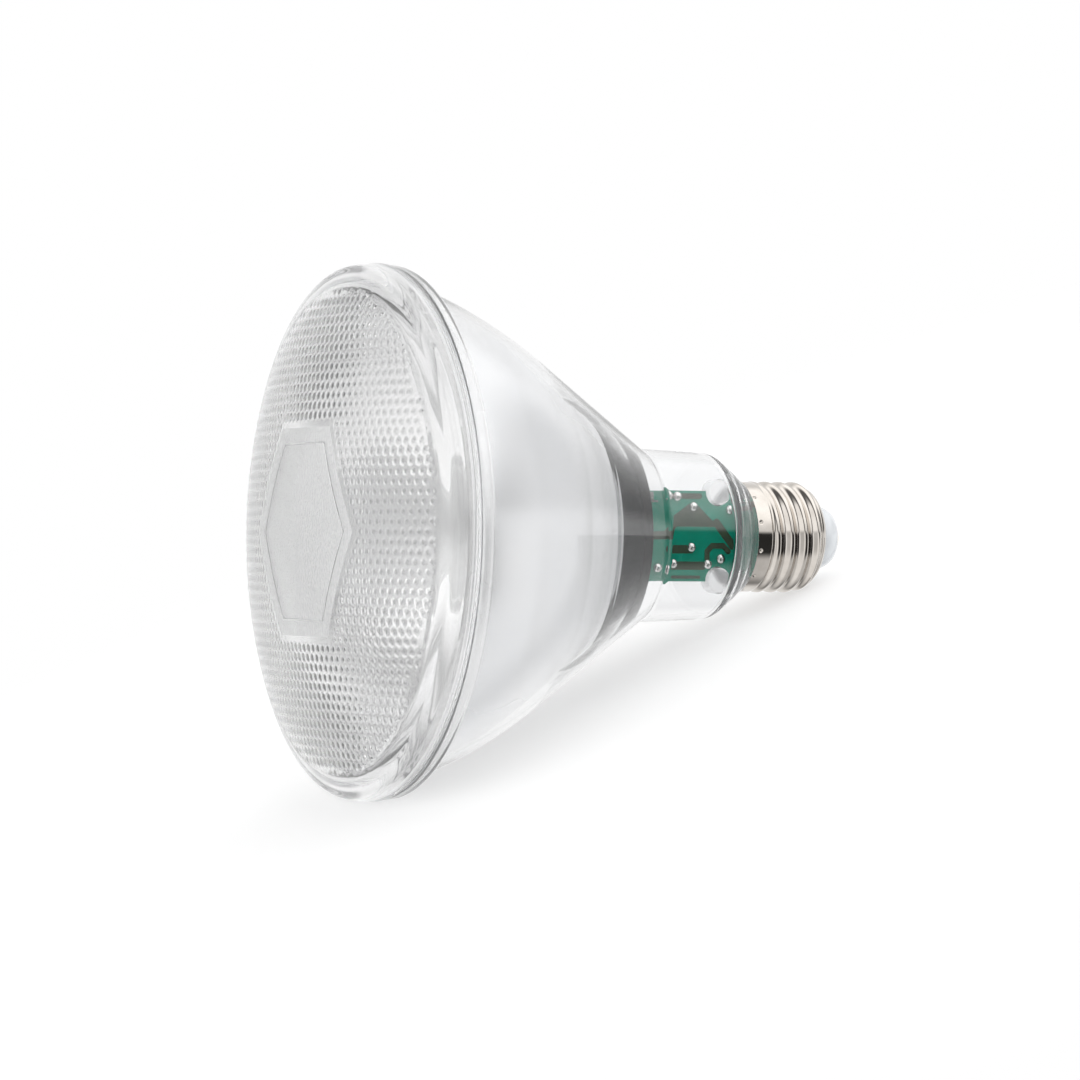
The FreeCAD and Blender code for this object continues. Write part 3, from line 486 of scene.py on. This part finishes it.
def make_lens():
    """Closed lens: triangulated front, then rings down the skirt and back under the dome."""
    points = lens_plan_points()
    plan, _, triangles, _, _, _ = geometry.delaunay_2d_cdt(points, [], [], 0, 1e-5)
    verts = [Vector((p.x, p.y, lens_top_z(p.x, p.y))) * MM for p in plan]
    faces = [list(t) for t in triangles]
    rim = [None] * lens_turns
    for index, p in enumerate(plan):
        if p.length > corner_start - 1e-3:
            k = round(math.atan2(p.y, p.x) / (2 * math.pi) * lens_turns) % lens_turns
            rim[k] = index
    outline = []
    for step in range(1, 9):
        angle = (math.pi / 2 - corner_tilt) * (1 - step / 8)
        outline.append((
            lens_top_radius - lens_corner_radius * (1 - math.cos(angle)),
            corner_end_z + lens_corner_radius * math.sin(angle),
        ))
    foot = lens_low.z
    outline += [
        (lens_top_radius + 0.3, foot + 1.6),
        (lens_foot_radius - 0.02, foot + 0.5),
        (lens_foot_radius, foot + 0.3),
        (lens_foot_radius - 0.1, foot + 0.08),
        (lens_foot_radius - 0.35, foot),
        (skirt_inner_radius + 0.3, foot),
        (skirt_inner_radius, foot + 0.3),
    ]
    inner_sphere = dome_radius - lens_wall
    inner_edge = dome_z(skirt_inner_radius, inner_sphere)
    outline += [
        (skirt_inner_radius, inner_edge - 1.6),
        (skirt_inner_radius - 0.25, inner_edge - 0.75),
        (skirt_inner_radius - 0.9, dome_z(skirt_inner_radius - 0.9, inner_sphere) - 0.12),
    ]
    for k in range(1, 24):
        radius = (skirt_inner_radius - 1.8) * (1 - k / 24) + 1e-3
        outline.append((radius, dome_z(radius, inner_sphere)))
    previous = rim
    for radius, z in outline:
        ring = list(range(len(verts), len(verts) + lens_turns))
        for k in range(lens_turns):
            angle = 2 * math.pi * k / lens_turns
            verts.append(Vector((radius * math.cos(angle), radius * math.sin(angle), z)) * MM)
        for k in range(lens_turns):
            n = (k + 1) % lens_turns
            faces.append([previous[k], previous[n], ring[n], ring[k]][::-1])
        previous = ring
    pole = len(verts)
    verts.append(Vector((0, 0, dome_z(0, inner_sphere))) * MM)
    for k in range(lens_turns):
        faces.append([previous[(k + 1) % lens_turns], previous[k], pole])
    lens = new_object("front_lens_glass", verts, faces, 60)
    # Lenslet height share at each point, the mask for the painted shade on the lenslet caps.
    dots = lens.data.attributes.new("lenslet", "FLOAT", "POINT")
    for index, p in enumerate(plan):
        if p.length < field_radius and hexagon_distance(p.x, p.y) > plain_hexagon_flats / 2:
            dots.data[index].value = lenslet_share(p.x, p.y)
    install(lens, lens_clear, "lens", "front_lens")
    lens.data.materials.append(lens_frost)
    for polygon in lens.data.polygons:
        centre = polygon.center / MM
        if centre.z < dome_top - 9 or polygon.normal.z < 0.5:
            continue
        across = hexagon_distance(centre.x, centre.y)
        on_border = abs(across - (hexagon_flats - border_width) / 2) < border_width / 2
        if across < plain_hexagon_flats / 2 and not on_border:
            polygon.material_index = 1
    return lens


make_lens()


# Housing, seal, reflector and spreader


def inward(point, across, along):
    """Point of the inner side, moved in by shares of the wall."""
    return (point[0] - across * housing_wall, point[1] + along * housing_wall)


inner_bowl_top = inward(bowl_top, 1.0, 0.0)
inner_bowl_mid = inward(bowl_mid, 1.1, 0.0)
inner_cone_top = inward(cone_top, 1.1, 0.0)
inner_neck_top = inward(neck_top, 1.0, 0.35)
inner_neck_foot = inward(neck_foot, 1.0, 0.6)


def make_housing():
    """Clear shell from the spigot to the flange, with its two posts."""
    spigot_inner = spigot_radius - housing_wall
    outline = [
        (spigot_inner, housing_low.z),
        (spigot_radius, housing_low.z),
        (spigot_radius, shoulder_foot[1]),
        shoulder_foot,
        (shoulder_foot[0] + 2.2, shoulder_foot[1] + 3.2),
        (shoulder_foot[0] + 2.6, shoulder_foot[1] + 3.4),
        neck_foot,
        neck_top,
    ]
    outline += arc(cone_top, bowl_mid, bowl_top, 24)
    outline += [
        (flange_radius, flange_bottom),
        (flange_radius, flange_top),
        (inner_bowl_top[0], flange_top),
    ]
    outline += arc(inner_bowl_top, inner_bowl_mid, inner_cone_top, 24)
    outline += [
        inner_neck_top,
        inner_neck_foot,
        (spigot_inner, shoulder_foot[1] + 0.6 * housing_wall),
    ]
    shell = lathe("housing_shell", soften(outline, 0.9, 5), 240, 50)
    for mat in (shell_clear, rim_soft, shoulder_clear):
        shell.data.materials.append(mat)
    for polygon in shell.data.polygons:
        if polygon.center.z / MM > flange_bottom - 0.2:
            polygon.material_index = 1
        elif polygon.center.z / MM < neck_foot[1] + 0.8:
            polygon.material_index = 2
    posts = [shell]
    for side in (-1, 1):
        outline = [(0, 0), (post_radius, 0), (post_radius, post_length), (0, post_length)]
        post = lathe("post", soften(outline, 0.4), 64)
        post.data.materials.append(post_milk)
        post.data.transform(Matrix.Rotation(math.radians(-90), 4, "X"))
        foot = Vector((side * post_x, board_low.y - post_reach, post_z))
        post.data.transform(Matrix.Translation(foot * MM))
        posts.append(post)
    with bpy.context.temp_override(active_object=shell, selected_editable_objects=posts):
        bpy.ops.object.join()
    return install(shell, None, "clear_shell", "housing")


def parabola(radius, lift):
    """Point of the bowl's paraboloid, raised by lift."""
    return (radius, vertex_z + lift + radius * radius / (4 * focal_length))


def make_reflector():
    """Mirror bowl: paraboloid, flared mouth with a flange, and a foot round the light source."""
    inner_bend = bend[0] - reflector_wall
    lift = bend[1] - parabola(inner_bend, 0)[1]
    inner_foot = math.sqrt(4 * focal_length * (mirror_foot[1] - vertex_z - lift))
    outer_span = bend[0] - bowl_joint
    inner_span = inner_bend - inner_foot
    outline = [mirror_foot, (lip[0] - 0.6, lip[1] - 0.1), lip, waist]
    outline += [parabola(bowl_joint + outer_span * k / 16, 0) for k in range(17)]
    outline += arc(bend, bowl_bulge, mirror_top, 14)[1:]
    outline += [
        (mirror_top[0], flange_top),
        (skirt_inner_radius - 0.3, flange_top),
        (skirt_inner_radius - 0.3, flange_top + reflector_wall),
        (mirror_top[0] - reflector_wall, flange_top + reflector_wall),
    ]
    outline += arc(
        (mirror_top[0] - reflector_wall, mirror_top[1]),
        (bowl_bulge[0] - reflector_wall, bowl_bulge[1]),
        (inner_bend, bend[1]), 14,
    )
    outline += [parabola(inner_foot + inner_span * (1 - k / 28), lift) for k in range(1, 29)]
    outline += [
        (inner_foot, mirror_foot[1] - reflector_wall),
        (seat[0], mirror_foot[1] - reflector_wall),
        seat,
        (mirror_foot[0], seat[1]),
    ]
    bowl = lathe("reflector_bowl", soften(outline, 0.35, 3), 240, 50)
    install(bowl, mirror, "mirror_coat", "reflector")
    bowl.data.materials.append(mirror_back)
    bowl.data.materials.append(spreader)
    for polygon in bowl.data.polygons:
        centre = polygon.center
        if polygon.normal.dot(Vector((centre.x, centre.y, 0))) > 0:
            polygon.material_index = 1 if centre.z / MM > lip[1] else 2
    return bowl


def cup_radius(z):
    """Outer radius of the cup, which fits the cone of the housing."""
    share = (z - inner_neck_top[1]) / (inner_cone_top[1] - inner_neck_top[1])
    return inner_neck_top[0] + share * (inner_cone_top[0] - inner_neck_top[0]) - slip


def make_spreader():
    """Cup of the light source: metal floor, and a wall that lets the bowl behind it show."""
    floor_top = seat[1]
    outline = [
        (0, spreader_low.z),
        (spreader_disc, spreader_low.z),
        (cup_radius(spreader_low.z), spreader_low.z),
        (cup_radius(floor_top), floor_top),
        (cup_radius(spreader_high.z), spreader_high.z),
        (cup_radius(spreader_high.z) - spreader_wall, spreader_high.z),
        (cup_radius(floor_top) - spreader_wall, floor_top),
        (spreader_disc - 0.3, floor_top),
        (0, floor_top),
    ]
    cup = lathe("spreader_cup", soften(outline, 0.3, 3), 192)
    install(cup, spreader, "spreader_metal", "heat_spreader")
    cup.data.materials.append(soft_clear)
    for polygon in cup.data.polygons:
        corner_radii = [cup.data.vertices[index].co.xy.length / MM for index in polygon.vertices]
        if max(corner_radii) > spreader_disc + 0.01:
            polygon.material_index = 1
    return cup


def make_seal():
    """Bead of adhesive between the flange and the lens skirt."""
    outline = [
        (seal_inner_radius, seal_bottom),
        (seal_outer_radius, seal_bottom),
        (seal_outer_radius, seal_top),
        (seal_inner_radius, seal_top),
    ]
    bead = lathe("lens_seal_bead", soften(outline, 0.15, 3), 192)
    return install(bead, seal_clear, "seal", "lens_seal")


make_housing()
make_reflector()
make_spreader()
make_seal()


# Screw cap


def thread_radius(z, angle):
    """Outer radius of the cap: lip cone, round thread, plain skirt."""
    if z < thread_foot_z:
        share = (z - shell_low.z) / (thread_foot_z - shell_low.z)
        return lip_radius + (root_radius - lip_radius) * max(math.sin(math.pi / 2 * share), 0) ** 0.9
    turn = angle / (2 * math.pi)
    start = first_crest_z - 0.75 * thread_pitch
    phase = (z - start) / thread_pitch - turn
    wave = max(0.5 + 0.5 * math.cos(2 * math.pi * phase), 0)
    low_fade = min(max((z - thread_foot_z + 0.2) / 1.2, 0), 1)
    middle = root_radius + (crest_radius - root_radius) * wave ** 0.9
    crest_above = first_crest_z - 0.75 * thread_pitch + (turn + 4) * thread_pitch
    skirt_line = min(last_crest_z, crest_above) if turn > 0.5 else last_crest_z
    up = min(max((z - (last_crest_z - 0.1)) / 1.1, 0), 1)
    up = up * up * (3 - 2 * up)
    threaded = root_radius + (middle - root_radius) * low_fade
    return threaded * (1 - up) + skirt_radius * up


def make_screw_shell():
    """Rolled shell as a thin closed sheet, with small dents round the skirt's edge."""
    turns = 540
    top = shell_high.z
    heights = [shell_low.z + 0.25 * k for k in range(int((top - 2.0 - shell_low.z) / 0.25))]
    z = top - 2.0
    while z < top - 0.02:
        heights.append(z)
        z += 0.13
    heights.append(top)
    verts, rings = [], []
    punch_z = top - punch_below_edge
    punch_step = math.radians(360 / punch_count)
    for inner in (False, True):
        run = heights[::-1] if inner else heights
        for z in run:
            ring = []
            for k in range(turns):
                angle = 2 * math.pi * k / turns
                radius = thread_radius(z, angle)
                if inner:
                    radius -= shell_wall
                else:
                    nearest = (round(angle / punch_step - 0.5) + 0.5) * punch_step
                    away = math.hypot((angle - nearest) * skirt_radius, z - punch_z)
                    if away < punch_radius:
                        radius -= punch_depth * (1 - (away / punch_radius) ** 4)
                ring.append(len(verts))
                verts.append(Vector((radius * math.cos(angle), radius * math.sin(angle), z)) * MM)
            rings.append(ring)
    faces = []
    for i in range(len(rings)):
        a, b = rings[i], rings[(i + 1) % len(rings)]
        for k in range(turns):
            n = (k + 1) % turns
            faces.append([a[k], a[n], b[n], b[k]])
    shell = new_object("screw_cap_shell", verts, faces, 50)
    return install(shell, nickel, "nickel", "screw_shell")


def make_insulator():
    """Round button with a bore for the rivet and a hollow behind its face."""
    outline = [(rivet_bore, button_face_z), (button_face_radius, button_face_z)]
    outline += arc((6.2, 1.2), (7.25, 2.9), (button_radius, 5.5), 8)
    outline += [
        (button_radius, 5.9),
        (insulator_radius, 8.8),
        (insulator_radius, insulator_top_z),
        (hollow_radius, insulator_top_z),
        (hollow_radius, hollow_floor_z),
        (rivet_bore, hollow_floor_z),
    ]
    button = lathe("insulator_button", soften(outline, 0.5, 4), 128)
    return install(button, insulator_white, "white_insulator", "insulator")


make_screw_shell()
make_insulator()


# Driver board and light source


def solder_joint(name, x, z):
    """Solder fillet with the cut lead in its middle, pointing to -Y."""
    front = board_low.y
    outline = [(0, 0.02), (1.15, 0.0), (1.16, 0.2), (1.1, 0.48), (0.93, 0.74), (0.66, 0.93), (0.38, 1.0)]
    outline += [(0.3, 1.04), (0.3, 1.35), (0.22, 1.43), (0, 1.45)]
    joint = lathe(name, outline, 28, 60)
    turn = Matrix.Rotation(math.radians(90), 4, "X")
    joint.data.transform(turn)
    joint.data.transform(Matrix.Translation(Vector((x, front, z)) * MM))
    return joint


joint_places = [
    (6.8, 39.5), (-2.6, 40.0), (-6.5, 35.7), (-5.2, 32.2), (-7.4, 49.2),
    (-6.4, 44.8), (9.25, 46.2), (9.1, 43.8), (6.2, 29.8), (7.0, 20.0),
]
joints = [solder_joint("solder_joint_%02d" % i, x, z) for i, (x, z) in enumerate(joint_places)]
with bpy.context.temp_override(active_object=joints[0], selected_editable_objects=joints):
    bpy.ops.object.join()
install(joints[0], solder_metal, "solder", "solder_joints")

for node, mat in {
    "led_board": led_board_white,
    "led_chips": phosphor,
    "board_screws": screw_steel,
    "led_leads": wire_red,
    "driver_board": board_green,
    "copper_traces": trace_dark,
    "lead_tab": tab_metal,
    "choke_core": ferrite,
    "choke_winding": copper_wire,
    "electrolytic_capacitor": sleeve,
    "film_capacitor": film_red,
    "disc_capacitor": disc_blue,
    "fuse_resistor": resistor_grey,
    "bridge_rectifier": package_black,
    "driver_chip": package_black,
    "live_wire": wire_white,
    "neutral_wire": wire_white,
    "end_contact": contact_brass,
}.items():
    for material_slot in nodes[node].material_slots:
        material_slot.material = mat


# Camera: the lamp lies with its axis across the picture and its lens towards the left

camera_data = bpy.data.cameras.new("camera")
camera_data.sensor_width = 36
camera_data.lens = 132.72
camera = bpy.data.objects.new("camera", camera_data)
bpy.context.scene.collection.objects.link(camera)
bpy.context.scene.camera = camera
camera_right = Vector((0.00867, -0.43356, -0.90108))
camera_up = Vector((0.99995, 0.0, 0.00962))
camera_back = camera_right.cross(camera_up)
rotation = Matrix((camera_right, camera_up, camera_back)).transposed().to_4x4()
camera.matrix_world = Matrix.Translation(Vector((-5.1, -826.0, 474.0)) * MM) @ rotation
camera_data.clip_start = 0.05
camera_data.clip_end = 20


# Stage: a pale floor that touches the rim and the cap on the -X side

rim_point = Vector((-lens_foot_radius, 0, lens_low.z + 0.5))
cap_point = Vector((-crest_radius, 0, 12.0))
along = (rim_point - cap_point).normalized()
floor_normal = Vector((along.z, 0, -along.x))
floor_mesh = bpy.data.meshes.new("floor")
floor_half_size = 1500
floor_gap = 0.3
sideways = Vector((0, 1, 0))
corners = []
for u, v in ((-1, -1), (1, -1), (1, 1), (-1, 1)):
    offset = (along * u + sideways * v) * floor_half_size
    corners.append((rim_point - floor_normal * floor_gap + offset) * MM)
floor_mesh.from_pydata(corners, [], [(0, 1, 2, 3)])
floor = bpy.data.objects.new("floor", floor_mesh)
bpy.context.scene.collection.objects.link(floor)
if floor_mesh.polygons[0].normal.dot(floor_normal) < 0:
    floor_mesh.flip_normals()


def calculate(tree_nodes, links, operation, first, second=None):
    """Math node on sockets or plain numbers."""
    node = tree_nodes.new("ShaderNodeMath")
    node.operation = operation
    for socket, value in zip(node.inputs, (first, second)):
        if value is None:
            continue
        if isinstance(value, (int, float)):
            socket.default_value = value
        else:
            links.new(value, socket)
    return node.outputs["Value"]


def blend(tree_nodes, links, under, over, share):
    """under where share is 0 and over where it is 1."""
    node = tree_nodes.new("ShaderNodeMix")
    for name, value in (("A", under), ("B", over), ("Factor", share)):
        socket = node.inputs[name]
        if isinstance(value, (int, float)):
            socket.default_value = value
        else:
            links.new(value, socket)
    return node.outputs["Result"]


floor_reach = 0.36
floor_mat, tree_nodes, links, shader = material("floor_white")
tree_nodes.remove(shader)
paint = tree_nodes.new("ShaderNodeBsdfDiffuse")
glow = tree_nodes.new("ShaderNodeEmission")
both = tree_nodes.new("ShaderNodeAddShader")
gone = tree_nodes.new("ShaderNodeBsdfTransparent")
ray = tree_nodes.new("ShaderNodeLightPath")
place = tree_nodes.new("ShaderNodeNewGeometry")
length = tree_nodes.new("ShaderNodeVectorMath")
length.operation = "DISTANCE"
length.inputs[1].default_value = (cap_point + rim_point) * 0.5 * MM
links.new(place.outputs["Position"], length.inputs[0])
far = smooth(tree_nodes, links, length.outputs["Value"], 0.5 * floor_reach, floor_reach)
hidden = calculate(tree_nodes, links, "MAXIMUM", far, place.outputs["Backfacing"])
hidden = calculate(tree_nodes, links, "MAXIMUM", hidden, ray.outputs["Is Glossy Ray"])
grain = noise(tree_nodes, links, 30)
links.new(spread(tree_nodes, links, grain.outputs["Fac"], 0.49, 0.51), paint.inputs["Color"])
glow.inputs["Strength"].default_value = 0.56
links.new(paint.outputs["BSDF"], both.inputs[0])
links.new(glow.outputs["Emission"], both.inputs[1])
mix = tree_nodes.new("ShaderNodeMixShader")
links.new(hidden, mix.inputs["Fac"])
links.new(both.outputs["Shader"], mix.inputs[1])
links.new(gone.outputs["BSDF"], mix.inputs[2])
links.new(mix.outputs["Shader"], tree_nodes["Material Output"].inputs["Surface"])
floor.data.materials.append(floor_mat)


# Studio: a white tent with a bright panel above and a dark gap in front of the lamp

world = bpy.data.worlds.new("studio")
bpy.context.scene.world = world
world.use_nodes = True
tree_nodes, links = world.node_tree.nodes, world.node_tree.links
background = tree_nodes["Background"]
coordinates = tree_nodes.new("ShaderNodeTexCoord")
split = tree_nodes.new("ShaderNodeSeparateXYZ")
links.new(coordinates.outputs["Generated"], split.inputs["Vector"])
up, away, lensward = split.outputs["X"], split.outputs["Y"], split.outputs["Z"]
front = calculate(tree_nodes, links, "MULTIPLY", away, -1.0)
capward = calculate(tree_nodes, links, "MULTIPLY", lensward, -1.0)
tilt = calculate(tree_nodes, links, "ARCTAN2", up, front)
behind = tree_nodes.new("ShaderNodeVectorMath")
behind.operation = "DOT_PRODUCT"
behind.inputs[1].default_value = -camera_back
links.new(coordinates.outputs["Generated"], behind.inputs[0])


def step(source, low, high):
    return smooth(tree_nodes, links, source, low, high)


def turn_step(low, high):
    """Smooth step between two angles in degrees, from the front up over the lamp."""
    return step(tilt, math.radians(low), math.radians(high))


def times(*values):
    product = values[0]
    for value in values[1:]:
        product = calculate(tree_nodes, links, "MULTIPLY", product, value)
    return product


def less(value):
    return calculate(tree_nodes, links, "SUBTRACT", 1.0, value)


upper = turn_step(5, 14)
middle_zone = times(step(lensward, -0.9, -0.76), less(step(lensward, 0.15, 0.35)))

# Even light, brighter towards the lens and the cap
tent = blend(tree_nodes, links, 0.72, 1.12, step(lensward, 0.2, 0.45))
tent = blend(tree_nodes, links, tent, 0.95, step(capward, 0.7, 0.95))

# Darker zones below and above, except towards the lens
tent = blend(tree_nodes, links, tent, 0.3, times(less(turn_step(-115, -88)), less(step(lensward, 0.0, 0.25))))
tent = blend(tree_nodes, links, tent, 0.15, times(step(up, 0.06, 0.18), less(step(lensward, 0.45, 0.65))))

# Bright panels above: one over the middle of the lamp, one towards the lens
panel = times(upper, middle_zone, less(turn_step(120, 150)))
panel_level = calculate(tree_nodes, links, "ADD", 1.0, times(turn_step(14, 45), 0.6))
tent = blend(tree_nodes, links, tent, panel_level, panel)
tent = blend(tree_nodes, links, tent, 1.3, times(upper, step(lensward, 0.45, 0.6), step(front, 0.1, 0.3)))

# Dark gap in front of the lamp, and a weaker one towards the lens
tent = blend(tree_nodes, links, tent, 0.03, times(turn_step(-52, -32), less(turn_step(5, 11)), middle_zone))
lens_gap = times(turn_step(-60, -30), less(upper), step(lensward, 0.55, 0.68), step(front, 0.1, 0.3))
tent = blend(tree_nodes, links, tent, 0.66, lens_gap)

# Nearly white behind the lamp, and for rays that pass through clear pieces away from the camera
tent = blend(tree_nodes, links, tent, 0.97, step(behind.outputs["Value"], 0.5, 0.75))
path = tree_nodes.new("ShaderNodeLightPath")
seen_through = times(path.outputs["Is Transmission Ray"], step(behind.outputs["Value"], -0.2, 0.25))
tent = blend(tree_nodes, links, tent, 0.94, times(seen_through, 0.85))
links.new(tent, background.inputs["Color"])
background.inputs["Strength"].default_value = 1.0
white = tree_nodes.new("ShaderNodeBackground")
white.inputs["Color"].default_value = (1, 1, 1, 1)
white.inputs["Strength"].default_value = 1.0
world_mix = tree_nodes.new("ShaderNodeMixShader")
links.new(path.outputs["Is Camera Ray"], world_mix.inputs["Fac"])
links.new(background.outputs["Background"], world_mix.inputs[1])
links.new(white.outputs["Background"], world_mix.inputs[2])
links.new(world_mix.outputs["Shader"], tree_nodes["World Output"].inputs["Surface"])

bpy.context.scene.view_settings.view_transform = "Standard"
